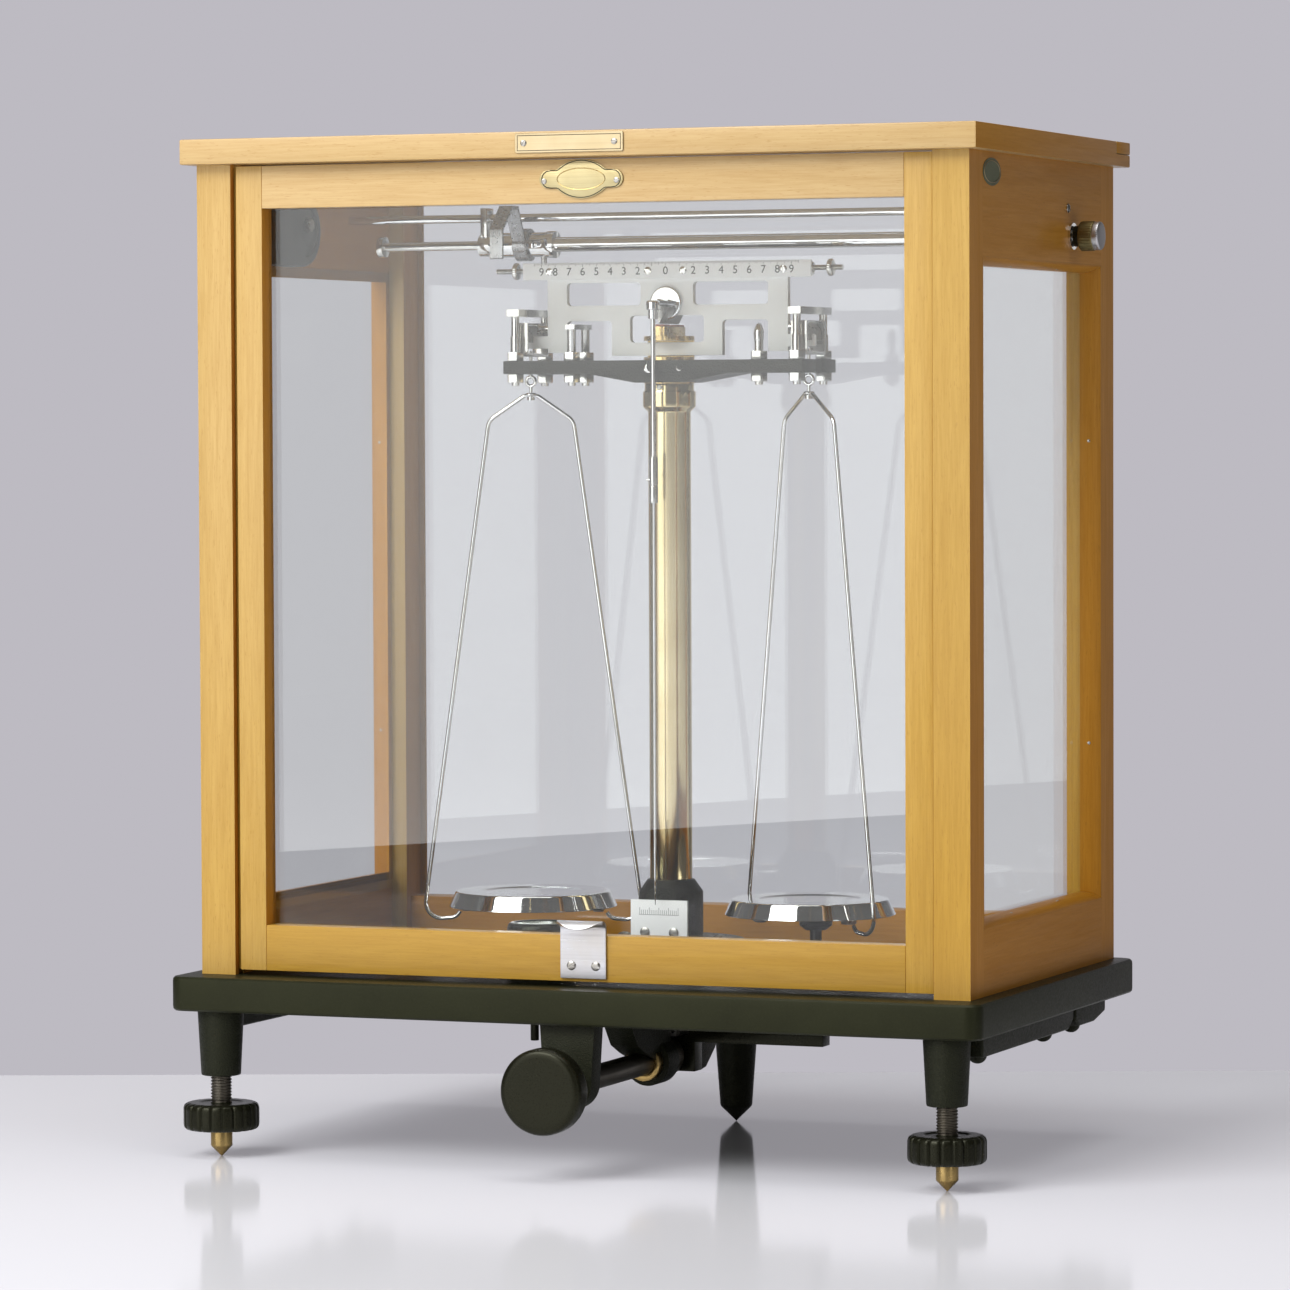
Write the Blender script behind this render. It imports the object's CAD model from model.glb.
import math

import bmesh
import bpy
from mathutils import Matrix, Vector


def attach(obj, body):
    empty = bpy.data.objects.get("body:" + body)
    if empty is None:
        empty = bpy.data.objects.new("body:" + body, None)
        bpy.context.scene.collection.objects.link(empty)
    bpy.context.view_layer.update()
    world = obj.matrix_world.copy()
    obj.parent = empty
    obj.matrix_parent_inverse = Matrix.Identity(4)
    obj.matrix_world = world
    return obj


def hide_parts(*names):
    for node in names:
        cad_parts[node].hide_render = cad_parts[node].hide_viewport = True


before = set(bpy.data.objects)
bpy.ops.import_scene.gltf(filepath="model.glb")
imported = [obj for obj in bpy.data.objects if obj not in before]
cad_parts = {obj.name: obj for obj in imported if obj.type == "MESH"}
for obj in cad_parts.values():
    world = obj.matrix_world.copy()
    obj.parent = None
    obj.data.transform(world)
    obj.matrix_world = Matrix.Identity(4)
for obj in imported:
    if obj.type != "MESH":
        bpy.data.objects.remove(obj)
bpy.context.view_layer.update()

# all measures below are in millimetres, from the case's own middle and datum plane
MM = 0.001
SHIFT_Y = 19.15  # the case's own middle to the origin
LIFT = 4.0  # datum plane above the table
BASE_TOP = 83.1
SIDE_FACE = 194.3  # outer face of the side panels, either way from the middle
TOP_PLATE_FACE = -119.7
SASH_FACE = -110.8
BADGE_X, BADGE_Z = 4.25, 460.15
FOOT_X, FOOT_Y = 183.6, -113.6
KNOB_LOW = 9.0  # underside of the levelling nuts
COLUMN_X, COLUMN_Y = -0.5, 10.0
INDEX_FACE = -5.1
BEAM_Y = 8.75  # middle of the beam's thickness
BEAM_FACE = 5.4
STUD_Z = 420.8
PIVOT_Z = 404.6  # middle of the disc over the centre knife
POINTER_Y = -11
PAN_X, PAN_Y = 72.5, 9
RIDER_Y, RIDER_Z = 42, 434.8


def at(x, y, z):
    """A point given in millimetres from the case's own middle and datum plane, in metres."""
    return Vector((x * MM, (y + SHIFT_Y) * MM, (z + LIFT) * MM))


# ------------------------------------------------------------------ materials


def node(m, kind, **inputs):
    """A node in m's tree; each input is a socket's name, or i and its number, with a value or a link."""
    n = m.node_tree.nodes.new(kind)
    for key, value in inputs.items():
        if key in ("operation", "feature"):
            setattr(n, key, value)
            continue
        name = key.replace("_", " ")
        socket = n.inputs[int(key[1:])] if key[0] == "i" and key[1:].isdigit() else n.inputs[name]
        if isinstance(value, bpy.types.NodeSocket):
            m.node_tree.links.new(value, socket)
        else:
            socket.default_value = value
    return n


def ramp(m, fac, stops):
    """A colour ramp; its stops are given from low to high."""
    n = m.node_tree.nodes.new("ShaderNodeValToRGB")
    e = n.color_ramp.elements
    while len(e) < len(stops):
        e.new(0.5)
    for i, (pos, colour) in enumerate(stops):
        e[i].position = pos
        c = colour if isinstance(colour, (tuple, list)) else (colour,) * 3
        e[i].color = (*c, 1)
    m.node_tree.links.new(fac, n.inputs[0])
    return n.outputs[0]


def mix(m, fac, a, b, kind="MIX"):
    n = m.node_tree.nodes.new("ShaderNodeMix")
    n.data_type = "RGBA"
    n.blend_type = kind
    n.clamp_factor = True
    for s, v in ((n.inputs[0], fac), (n.inputs[6], a), (n.inputs[7], b)):
        if isinstance(v, bpy.types.NodeSocket):
            m.node_tree.links.new(v, s)
        else:
            s.default_value = (*v, 1) if isinstance(v, (tuple, list)) else v
    return n.outputs[2]


def coords(m, scale=(1, 1, 1), move=(0, 0, 0)):
    """The piece's own coordinates, so that a pattern rides with it."""
    t = m.node_tree.nodes.new("ShaderNodeTexCoord")
    p = m.node_tree.nodes.new("ShaderNodeMapping")
    p.inputs["Scale"].default_value = scale
    p.inputs["Location"].default_value = move
    m.node_tree.links.new(t.outputs["Object"], p.inputs["Vector"])
    return p.outputs[0]


def noise(m, vector, scale, detail=3, rough=0.5, distort=0.0):
    return node(m, "ShaderNodeTexNoise", Vector=vector, Scale=scale, Detail=detail,
                Roughness=rough, Distortion=distort).outputs[0]


def new_mat(name, **sockets):
    m = bpy.data.materials.new(name)
    m.use_nodes = True
    b = m.node_tree.nodes["Principled BSDF"]
    for key, value in sockets.items():
        b.inputs[key.replace("_", " ")].default_value = value
    return m, b


def bump(m, b, height, strength, distance):
    n = node(m, "ShaderNodeBump", Height=height, Strength=strength, Distance=distance)
    m.node_tree.links.new(n.outputs[0], b.inputs["Normal"])


def to(m, output, b, name):
    m.node_tree.links.new(output, b.inputs[name])


WOODS = {}


def wood(axis, shade=1.0, seed=0, pale=0.0, red=0.0):
    """Varnished beech, with its grain and ray flecks along one axis. Pale and red shift its tone."""
    key = (axis, shade, seed, pale, red)
    if key in WOODS:
        return WOODS[key]
    m, b = new_mat(f"beech_{axis}_{round(shade * 100)}_{seed}_{round(red * 10)}",
                   Coat_Weight=0.25 * (1 - red), Coat_Roughness=0.16, Specular_IOR_Level=0.20 - 0.12 * red)
    along = "xyz".index(axis)
    stretch = [1.0, 1.0, 1.0]
    stretch[along] = 0.045
    move = (seed * 0.37, seed * 0.53, seed * 0.71)
    v = coords(m, stretch, move)
    broad = noise(m, v, 34, 3, 0.55, 0.4)
    rings = noise(m, v, 210, 4, 0.62, 1.2)
    lines = noise(m, v, 1100, 3, 0.6)
    short = [1.0, 1.0, 1.0]
    short[along] = 0.13
    flecks = noise(m, coords(m, short, move), 1900, 2, 0.5)
    light, golden, deep = (
        tuple(shade * (c * (1 - pale) + p * pale) for c, p in zip(tone, faded))
        for tone, faded in (((0.570, 0.360, 0.088), (0.60, 0.44, 0.24)),
                            ((0.505, 0.308, 0.060), (0.55, 0.39, 0.18)),
                            ((0.385, 0.208, 0.030), (0.44, 0.27, 0.10))))
    light, golden, deep = ((r * (0.88 + 0.17 * red), g * (0.88 - 0.10 * red), b_ * (0.90 - 0.35 * red))
                           for r, g, b_ in (light, golden, deep))
    colour = ramp(m, broad, [(0.30, golden), (0.72, light)])
    colour = mix(m, ramp(m, rings, [(0.38, 0.0), (0.70, 0.34)]), colour, deep)
    colour = mix(m, ramp(m, lines, [(0.40, 0.0), (0.66, 0.34)]), colour, deep)
    fleck = ramp(m, flecks, [(0.62, 0.0), (0.72, 0.38)])
    colour = mix(m, fleck, colour, (0.300 * shade, 0.145 * shade, 0.030 * shade))
    # the varnish is yellower low down on the case
    height = node(m, "ShaderNodeSeparateXYZ", Vector=coords(m)).outputs[2]
    colour = mix(m, ramp(m, height, [(0.13, 1.0), (0.34, 0.0)]), colour, (0.97, 0.90, 0.55), "MULTIPLY")
    to(m, colour, b, "Base Color")
    to(m, ramp(m, rings, [(0.3, 0.30), (0.8, 0.42)]), b, "Roughness")
    skin = mix(m, 0.5, ramp(m, lines, [(0.3, 0.4), (0.7, 0.6)]), ramp(m, flecks, [(0.55, 0.6), (0.75, 0.2)]))
    bump(m, b, skin, 0.22, 0.00012)
    WOODS[key] = m
    return m


def painted(name, colour, rough, grain, strength, distance, spread=0.25, coat=0.0):
    """Paint or plastic: a slightly uneven colour, uneven gloss and a fine skin."""
    m, b = new_mat(name, Coat_Weight=coat, Coat_Roughness=0.2, Specular_IOR_Level=0.17,
                   Specular_Tint=(1.0, 1.0, 0.70, 1.0))
    v = coords(m)
    big = noise(m, v, 22, 4, 0.6)
    fine = noise(m, v, grain, 3, 0.6)
    low = tuple(c * (1 - spread) for c in colour)
    high = tuple(min(1, c * (1 + spread)) for c in colour)
    c = ramp(m, big, [(0.3, low), (0.7, high)])
    c = mix(m, ramp(m, fine, [(0.45, 0.0), (0.75, 0.25)]), c, tuple(min(1, x * 1.5 + 0.01) for x in colour))
    to(m, c, b, "Base Color")
    to(m, ramp(m, fine, [(0.3, rough * 0.82), (0.7, min(1, rough * 1.18))]), b, "Roughness")
    bump(m, b, fine, strength, distance)
    return m


def crackle(name, colour, cell):
    """Wrinkle lacquer: small rounded cells with darker seams."""
    m, b = new_mat(name, Coat_Weight=0.06, Coat_Roughness=0.3, Specular_IOR_Level=0.15,
                   Specular_Tint=(1.0, 1.0, 0.70, 1.0))
    v = coords(m)
    bend = noise(m, v, cell * 0.6, 2, 0.5)
    cells = node(m, "ShaderNodeTexVoronoi", Vector=v, Scale=cell, feature="F1")
    c = ramp(m, cells.outputs["Distance"], [(0.15, tuple(x * 1.6 for x in colour)), (0.75, colour)])
    c = mix(m, ramp(m, bend, [(0.3, 0.0), (0.8, 0.5)]), c, tuple(x * 0.6 for x in colour))
    to(m, c, b, "Base Color")
    to(m, ramp(m, bend, [(0.3, 0.36), (0.8, 0.55)]), b, "Roughness")
    h = ramp(m, cells.outputs["Distance"], [(0.1, 1.0), (0.8, 0.0)])
    bump(m, b, h, 0.7, 0.00025)
    return m


def metal(name, colour, rough, axis=None, streak=0.35, tarnish=0.12, coat=0.0):
    """Metal with faint tarnish and, where it was brushed or turned, lines along an axis."""
    m, b = new_mat(name, Metallic=1.0, Coat_Weight=coat, Coat_Roughness=0.08)
    stretch = [1.0, 1.0, 1.0]
    if axis:
        stretch["xyz".index(axis)] = 0.012
    v = coords(m, stretch)
    brush = noise(m, v, 1500 if axis else 420, 3, 0.6)
    big = noise(m, coords(m), 34, 4, 0.65)
    dull = tuple(c * (1 - tarnish) * f for c, f in zip(colour, (1.0, 0.96, 0.88)))
    c = ramp(m, big, [(0.35, dull), (0.65, colour)])
    c = mix(m, ramp(m, brush, [(0.4, 0.0), (0.75, streak * 0.5)]), c, tuple(x * 0.72 for x in colour))
    to(m, c, b, "Base Color")
    gloss = [(0.25, max(0.02, rough * (1 - streak))), (0.75, rough * (1 + streak))]
    to(m, ramp(m, brush, gloss), b, "Roughness")
    bump(m, b, brush, 0.10 if axis else 0.04, 0.00004)
    return m


GLASS_IOR = 1.5


def glass(name, tint):
    """A thin pane: clear, with a mirror-like sheen that grows at a slant."""
    m = bpy.data.materials.new(name)
    m.use_nodes = True
    t = m.node_tree
    t.nodes.clear()
    out = t.nodes.new("ShaderNodeOutputMaterial")
    clear = t.nodes.new("ShaderNodeBsdfTransparent")
    clear.inputs[0].default_value = (*tint, 1)
    shine = t.nodes.new("ShaderNodeBsdfGlossy")
    shine.inputs["Color"].default_value = (1, 1, 1, 1)
    smudge = noise(m, coords(m), 9, 4, 0.6)
    t.links.new(ramp(m, smudge, [(0.35, 0.0), (0.75, 0.012)]), shine.inputs["Roughness"])
    # light that leaves the pane meets the same bend as light that enters it
    inside = t.nodes.new("ShaderNodeNewGeometry")
    turned_ior = node(m, "ShaderNodeMath", operation="MULTIPLY_ADD", i0=inside.outputs["Backfacing"],
                      i1=1 / GLASS_IOR - GLASS_IOR, i2=GLASS_IOR)
    fresnel = node(m, "ShaderNodeFresnel", IOR=turned_ior.outputs[0])
    both = t.nodes.new("ShaderNodeMixShader")
    t.links.new(fresnel.outputs[0], both.inputs[0])
    t.links.new(clear.outputs[0], both.inputs[1])
    t.links.new(shine.outputs[0], both.inputs[2])
    t.links.new(both.outputs[0], out.inputs[0])
    return m


BLACK_BASE = painted("black_base_paint", (0.011, 0.012, 0.005), 0.40, 900, 0.10, 0.0001, 0.25)
CAST_BLACK = crackle("cast_black_lacquer", (0.008, 0.009, 0.005), 1500)
CRACKLE = crackle("wrinkle_black_lacquer", (0.013, 0.013, 0.012), 1150)
BAKELITE = painted("black_bakelite", (0.006, 0.006, 0.003), 0.30, 1400, 0.05, 0.00006, 0.2, 0.05)
GREY_CASE = painted("dark_grey_enamel", (0.075, 0.080, 0.085), 0.38, 1200, 0.08, 0.00006, 0.15)
BEAM = painted("beam_stone_enamel", (0.88, 0.88, 0.86), 0.52, 1600, 0.12, 0.00005, 0.03)
WHITE = painted("scale_white_enamel", (0.88, 0.88, 0.88), 0.34, 1300, 0.04, 0.00004, 0.02)
INK = painted("scale_black_ink", (0.02, 0.02, 0.02), 0.5, 2500, 0.05, 0.00003, 0.2)
GREY_INK = painted("plate_grey_ink", (0.22, 0.22, 0.23), 0.5, 2500, 0.05, 0.00003, 0.2)
AGATE = painted("agate_red_brown", (0.36, 0.12, 0.07), 0.12, 700, 0.03, 0.00003, 0.3, 0.6)
BRASS_TUBE = metal("brass_drawn_tube", (0.80, 0.66, 0.38), 0.15, "z", 0.4, 0.10, 0.3)
BRASS = metal("brass_turned", (0.72, 0.53, 0.25), 0.24, None, 0.3, 0.16, 0.2)
BRASS_DARK = metal("brass_worn_foot", (0.52, 0.37, 0.15), 0.32, None, 0.3, 0.35)
BADGE = metal("badge_brushed_brass", (0.42, 0.36, 0.20), 0.45, "x", 0.35, 0.1, 0.2)
KNOB_OLIVE = metal("knob_dark_brass", (0.20, 0.165, 0.075), 0.38, None, 0.3, 0.3)
BRASS_PLATE = metal("brass_plate_brushed", (0.46, 0.38, 0.24), 0.42, "x", 0.35, 0.08, 0.25)
CHROME = metal("bright_chrome", (0.78, 0.79, 0.81), 0.045, None, 0.5, 0.03)
NICKEL = metal("nickel_plate", (0.70, 0.70, 0.69), 0.16, None, 0.4, 0.06)
DULL_NICKEL = metal("dull_nickel", (0.36, 0.36, 0.37), 0.24, None, 0.4, 0.1)
STEEL = metal("plain_steel", (0.42, 0.41, 0.39), 0.34, None, 0.4, 0.22)
DARK_STEEL = metal("blackened_steel", (0.17, 0.155, 0.13), 0.40, "y", 0.4, 0.25)
ALUMINIUM = metal("brushed_aluminium", (0.52, 0.52, 0.55), 0.38, "x", 0.35, 0.04)
PANE = glass("window_glass", (0.975, 0.985, 0.982))

# ------------------------------------------------------------------ piece making


def finish_mesh(bm, angle=32):
    limit = math.radians(angle)
    bmesh.ops.recalc_face_normals(bm, faces=bm.faces)
    for f in bm.faces:
        f.smooth = True
    for e in bm.edges:
        e.smooth = len(e.link_faces) == 2 and e.calc_face_angle(0) < limit


def add(name, bm, body, material, replaces=(), angle=32):
    """Turns a bmesh into a piece that rides on a body."""
    finish_mesh(bm, angle)
    mesh = bpy.data.meshes.new(name)
    bm.to_mesh(mesh)
    bm.free()
    o = bpy.data.objects.new(name, mesh)
    bpy.context.scene.collection.objects.link(o)
    mesh.materials.append(material)
    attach(o, body)
    if replaces:
        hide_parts(*replaces)
    return o


def bevel_sharp(bm, width, segments=2, angle=35):
    edges = [e for e in bm.edges if len(e.link_faces) == 2 and e.calc_face_angle(0) > math.radians(angle)]
    if edges and width > 0:
        bmesh.ops.bevel(bm, geom=edges, offset=width * MM, segments=segments, profile=0.6,
                        affect="EDGES", clamp_overlap=True)


def box_bm(low, high):
    bm = bmesh.new()
    a, b = at(*low), at(*high)
    bmesh.ops.create_cube(bm, size=1, matrix=Matrix.Translation((a + b) / 2) @ Matrix.Diagonal((*(b - a), 1)))
    return bm


def block(name, low, high, body, material, bevel=0.5, replaces=(), segments=2):
    bm = box_bm(low, high)
    bevel_sharp(bm, bevel, segments)
    return add(name, bm, body, material, replaces)


def basis(axis):
    """Turns the Z axis on to the given one."""
    return Vector((0, 0, 1)).rotation_difference(Vector(axis)).to_matrix().to_4x4()


def lathe_bm(profile, origin, axis=(0, 0, 1), segments=64, ripple=None):
    """Turns a list of (radius, height) in millimetres about an axis through origin."""
    bm = bmesh.new()
    m = Matrix.Translation(at(*origin)) @ basis(axis)
    rings = []
    for r, h in profile:
        if r < 1e-6:
            rings.append([bm.verts.new(m @ Vector((0, 0, h * MM)))])
            continue
        ring = []
        for i in range(segments):
            a = 2 * math.pi * i / segments
            q = ripple(a, r, h) if ripple else r
            ring.append(bm.verts.new(m @ Vector((q * math.cos(a) * MM, q * math.sin(a) * MM, h * MM))))
        rings.append(ring)
    for p, q in zip(rings, rings[1:]):
        for i in range(segments):
            j = (i + 1) % segments
            if len(p) == 1 and len(q) == 1:
                continue
            if len(p) == 1:
                bm.faces.new((p[0], q[i], q[j]))
            elif len(q) == 1:
                bm.faces.new((p[i], p[j], q[0]))
            else:
                bm.faces.new((p[i], p[j], q[j], q[i]))
    for ring, flip in ((rings[0], True), (rings[-1], False)):
        if len(ring) > 1:
            bm.faces.new(ring[::-1] if flip else ring)
    return bm


def rounded_profile(points, radius, steps=3):
    """Rounds the inner corners of a lathe profile."""
    out = [points[0]]
    for a, b, c in zip(points, points[1:], points[2:]):
        p, q, r = Vector(a), Vector(b), Vector(c)
        d1, d2 = (p - q), (r - q)
        cut = min(radius, d1.length * 0.45, d2.length * 0.45)
        if cut < 1e-4 or abs(d1.normalized().dot(d2.normalized())) > 0.995:
            out.append(b)
            continue
        s, e = q + d1.normalized() * cut, q + d2.normalized() * cut
        for i in range(steps + 1):
            t = i / steps
            out.append(tuple((1 - t) ** 2 * s + 2 * t * (1 - t) * q + t * t * e))
    out.append(points[-1])
    return out


def turned(name, profile, origin, axis, body, material, replaces=(), round_r=0.3, segments=64, ripple=None):
    bm = lathe_bm(rounded_profile(profile, round_r), origin, axis, segments, ripple)
    return add(name, bm, body, material, replaces)


def prism_bm(outline, axis, low, high):
    """Extrudes an outline of millimetre points along x, y or z between two planes."""
    bm = bmesh.new()

    def place(p, h):
        if axis == "y":
            return at(p[0], h, p[1])
        if axis == "x":
            return at(h, p[0], p[1])
        return at(p[0], p[1], h)

    a = [bm.verts.new(place(p, low)) for p in outline]
    b = [bm.verts.new(place(p, high)) for p in outline]
    bm.faces.new(a[::-1])
    bm.faces.new(b)
    n = len(outline)
    for i in range(n):
        bm.faces.new((a[i], a[(i + 1) % n], b[(i + 1) % n], b[i]))
    bmesh.ops.recalc_face_normals(bm, faces=bm.faces)
    return bm


def rounded_rect(x1, y1, x2, y2, r, steps=6):
    pts = []
    for cx, cy, a0 in ((x2 - r, y2 - r, 0), (x1 + r, y2 - r, 90), (x1 + r, y1 + r, 180), (x2 - r, y1 + r, 270)):
        for i in range(steps + 1):
            a = math.radians(a0 + 90 * i / steps)
            pts.append((cx + r * math.cos(a), cy + r * math.sin(a)))
    return pts


def tube_bm(points, radius, segments=16, closed=False):
    """A round wire along points in metres, with its frame carried along."""
    bm = bmesh.new()
    n = len(points)
    rings = []
    up = None
    for i, p in enumerate(points):
        a = points[(i - 1) % n] if closed or i else p
        b = points[(i + 1) % n] if closed or i < n - 1 else p
        d = (b - a).normalized()
        if up is None:
            up = d.orthogonal().normalized()
        up = (up - d * up.dot(d)).normalized()
        side = d.cross(up)
        rings.append([bm.verts.new(p + radius * MM * (math.cos(t) * up + math.sin(t) * side))
                      for t in (2 * math.pi * k / segments for k in range(segments))])
    pairs = list(zip(rings, rings[1:])) + ([(rings[-1], rings[0])] if closed else [])
    for p, q in pairs:
        for i in range(segments):
            j = (i + 1) % segments
            bm.faces.new((p[i], p[j], q[j], q[i]))
    if not closed:
        bm.faces.new(rings[0][::-1])
        bm.faces.new(rings[-1])
    return bm


def merge(*parts):
    out = bmesh.new()
    for p in parts:
        mesh = bpy.data.meshes.new("scratch")
        p.to_mesh(mesh)
        p.free()
        out.from_mesh(mesh)
        bpy.data.meshes.remove(mesh)
    return out


def cad_bm(name):
    bm = bmesh.new()
    bm.from_mesh(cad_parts[name].data)
    bmesh.ops.remove_doubles(bm, verts=bm.verts, dist=2e-6)
    bmesh.ops.dissolve_limit(bm, angle_limit=math.radians(0.6), verts=bm.verts, edges=bm.edges)
    return bm


def islands(bm):
    seen = set()
    for v in bm.verts:
        if v in seen:
            continue
        stack, group = [v], []
        seen.add(v)
        while stack:
            w = stack.pop()
            group.append(w)
            for e in w.link_edges:
                o = e.other_vert(w)
                if o not in seen:
                    seen.add(o)
                    stack.append(o)
        yield group


def part_bms(name):
    """The CAD node's separate solids, each as its own bmesh."""
    bm = cad_bm(name)
    out = []
    for group in islands(bm):
        keep = set(group)
        one = bmesh.new()
        index = {v: one.verts.new(v.co) for v in group}
        for f in bm.faces:
            if f.verts[0] in keep:
                one.faces.new([index[v] for v in f.verts])
        out.append(one)
    bm.free()
    return out


def eased(node_name, body, material, width, angle=35, segments=2):
    """The CAD node with its sharp edges rounded off."""
    bm = merge(*part_bms(node_name))
    bevel_sharp(bm, width, segments, angle)
    return add(node_name + "_eased", bm, body, material, (node_name,))


def dress(node_name, material):
    """A CAD node whose shape is right gets its finish."""
    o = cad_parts[node_name]
    if not o.material_slots:
        o.data.materials.append(material)
    for s in o.material_slots:
        s.material = material


def subtract(solid, *cutters):
    """The solid with every cutter taken away."""
    objs = []
    for bm in (solid, *cutters):
        mesh = bpy.data.meshes.new("scratch")
        bmesh.ops.recalc_face_normals(bm, faces=bm.faces)
        bm.to_mesh(mesh)
        bm.free()
        o = bpy.data.objects.new("scratch", mesh)
        bpy.context.scene.collection.objects.link(o)
        objs.append(o)
    for c in objs[1:]:
        mod = objs[0].modifiers.new("cut", "BOOLEAN")
        mod.object = c
        mod.operation = "DIFFERENCE"
        mod.solver = "EXACT"
    got = bpy.data.meshes.new_from_object(objs[0].evaluated_get(bpy.context.evaluated_depsgraph_get()))
    out = bmesh.new()
    out.from_mesh(got)
    for o in objs:
        m = o.data
        bpy.data.objects.remove(o)
        bpy.data.meshes.remove(m)
    bpy.data.meshes.remove(got)
    return out


def cut_bm(solid, *cutters):
    """Takes the cutters away from the solid and cleans up flat faces."""
    out = subtract(solid, *cutters)
    bmesh.ops.remove_doubles(out, verts=out.verts, dist=1e-6)
    bmesh.ops.dissolve_limit(out, angle_limit=math.radians(0.6), verts=out.verts, edges=out.edges)
    return out


def screw_bm(origin, axis, r, h, slot_angle=20, slot_w=0.22):
    """A low domed head with a milled slot, standing on origin and looking along axis."""
    steps = 5
    profile = [(r, 0), (r, h * 0.35)]
    for i in range(1, steps + 1):
        a = math.pi / 2 * i / steps
        profile.append((r * math.cos(a), h * 0.35 + h * 0.65 * math.sin(a)))
    profile[-1] = (0, h)
    head = lathe_bm(profile, (0, 0, 0), (0, 0, 1), 28)
    cut = box_bm((-r * 1.2, -r * slot_w, h * 0.45), (r * 1.2, r * slot_w, h * 1.5))
    for bm in (head, cut):
        bmesh.ops.translate(bm, verts=bm.verts, vec=-at(0, 0, 0))
    bmesh.ops.transform(cut, matrix=Matrix.Rotation(math.radians(slot_angle), 4, "Z"), verts=cut.verts)
    # so small a cut is only clean at a larger scale
    for bm in (head, cut):
        bmesh.ops.scale(bm, vec=(1000, 1000, 1000), verts=bm.verts)
    out = subtract(head, cut)
    bmesh.ops.scale(out, vec=(MM, MM, MM), verts=out.verts)
    bmesh.ops.transform(out, matrix=Matrix.Translation(at(*origin)) @ basis(axis), verts=out.verts)
    return out


def screws(name, specs, body, material, replaces=()):
    return add(name, merge(*[screw_bm(*s) for s in specs]), body, material, replaces, 28)


def ellipse(x, z, rx, rz, steps):
    """Points (x, z) of an ellipse, from its right end and counter-clockwise."""
    return [(x + rx * math.cos(t), z + rz * math.sin(t))
            for t in (2 * math.pi * i / steps for i in range(steps))]


# ------------------------------------------------------------------ wooden case

FRONT, SIDE, DEEP = 1.0, 0.86, 0.78


def longest(bm):
    """The axis a solid is longest along, and its middle."""
    lo = [min(v.co[i] for v in bm.verts) for i in range(3)]
    hi = [max(v.co[i] for v in bm.verts) for i in range(3)]
    size = [b - a for a, b in zip(lo, hi)]
    return "xyz"[size.index(max(size))], [(a + b) / 2 for a, b in zip(lo, hi)]


def side_face(o, material):
    """The faces that look along X are cut across the board, and are darker and redder."""
    o.data.materials.append(material)
    for p in o.data.polygons:
        if abs(p.normal.x) > 0.8:
            p.material_index = 1


def boards(node_name, shade, bevel, stem, red=0.0):
    """Each separate solid of a wooden node becomes a board with its grain along its length."""
    parts = part_bms(node_name)
    parts.sort(key=lambda p: tuple(round(c, 4) for c in longest(p)[1]))
    for i, bm in enumerate(parts):
        axis, _ = longest(bm)
        bevel_sharp(bm, bevel)
        pale = 0.3 if i < 2 and stem == "post" else 0.0
        seed = i + len(stem)
        o = add(f"{stem}_{i + 1}", bm, "case", wood(axis, shade, seed, pale, red), (node_name,))
        if not red:
            side_face(o, wood(axis, SIDE, seed, 0.0, 1.0))


boards("corner_posts", FRONT, 0.6, "post")
boards("side_panels", SIDE, 0.4, "side_panel", 1.0)

slab = prism_bm(rounded_rect(-204.15, -129.3, 204.15, 114.6, 7.5, 8), "z", 66.4, BASE_TOP)
bevel_sharp(slab, 2.4, 3, 50)
add("base_slab", slab, "case", BLACK_BASE, ("base_board",))

rear = [
    ("rear_rail_low", (-176.6, 94, BASE_TOP), (176.6, 109.1, 104.8), "x", "rear_frame"),
    ("rear_rail_high", (-176.6, 94, 458), (176.6, 109.1, 470.3), "x", "rear_frame"),
    ("rear_strip_left", (-176.6, 107.1, 104.8), (-173.8, 109.1, 458), "z", "glazing_beads"),
    ("rear_strip_right", (173.8, 107.1, 104.8), (176.6, 109.1, 458), "z", "glazing_beads"),
]
for i, (n, lo, hi, axis, cad) in enumerate(rear):
    block(n, lo, hi, "case", wood(axis, SIDE, 20 + i, 0.0, 0.8), 0.4, (cad,))

# the beads round the side panes, as (distance from the pane, height): tall at the glass, rounded off outwards
BEAD = [(0, 0), (9.7, 0), (9.7, 0.8), (8.9, 1.6), (7.8, 2.3), (6.4, 3.0), (4.9, 3.45), (3.4, 3.8),
        (1.9, 4.0), (0, 4.0)]
PANE_FACE = 184.6
WIN_Y1, WIN_Y2, WIN_Z1, WIN_Z2 = -92.5, 89.2, 113.5, 422.3
for s, side in ((-1, "left"), (1, "right")):
    for n, edge, way, axis, lo, hi in (("low", WIN_Z1, 1, "y", WIN_Y1, WIN_Y2),
                                       ("high", WIN_Z2, -1, "y", WIN_Y1, WIN_Y2),
                                       ("front", WIN_Y1, 1, "z", WIN_Z1, WIN_Z2),
                                       ("rear", WIN_Y2, -1, "z", WIN_Z1, WIN_Z2)):
        line = [(s * (PANE_FACE + d), edge + way * h) for d, h in BEAD]
        add(f"bead_{side}_{n}", prism_bm(line, axis, lo, hi), "case",
            wood(axis, DEEP, 50 + len(n), 0.0, 1.0), ("glazing_beads",), 28)

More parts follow.
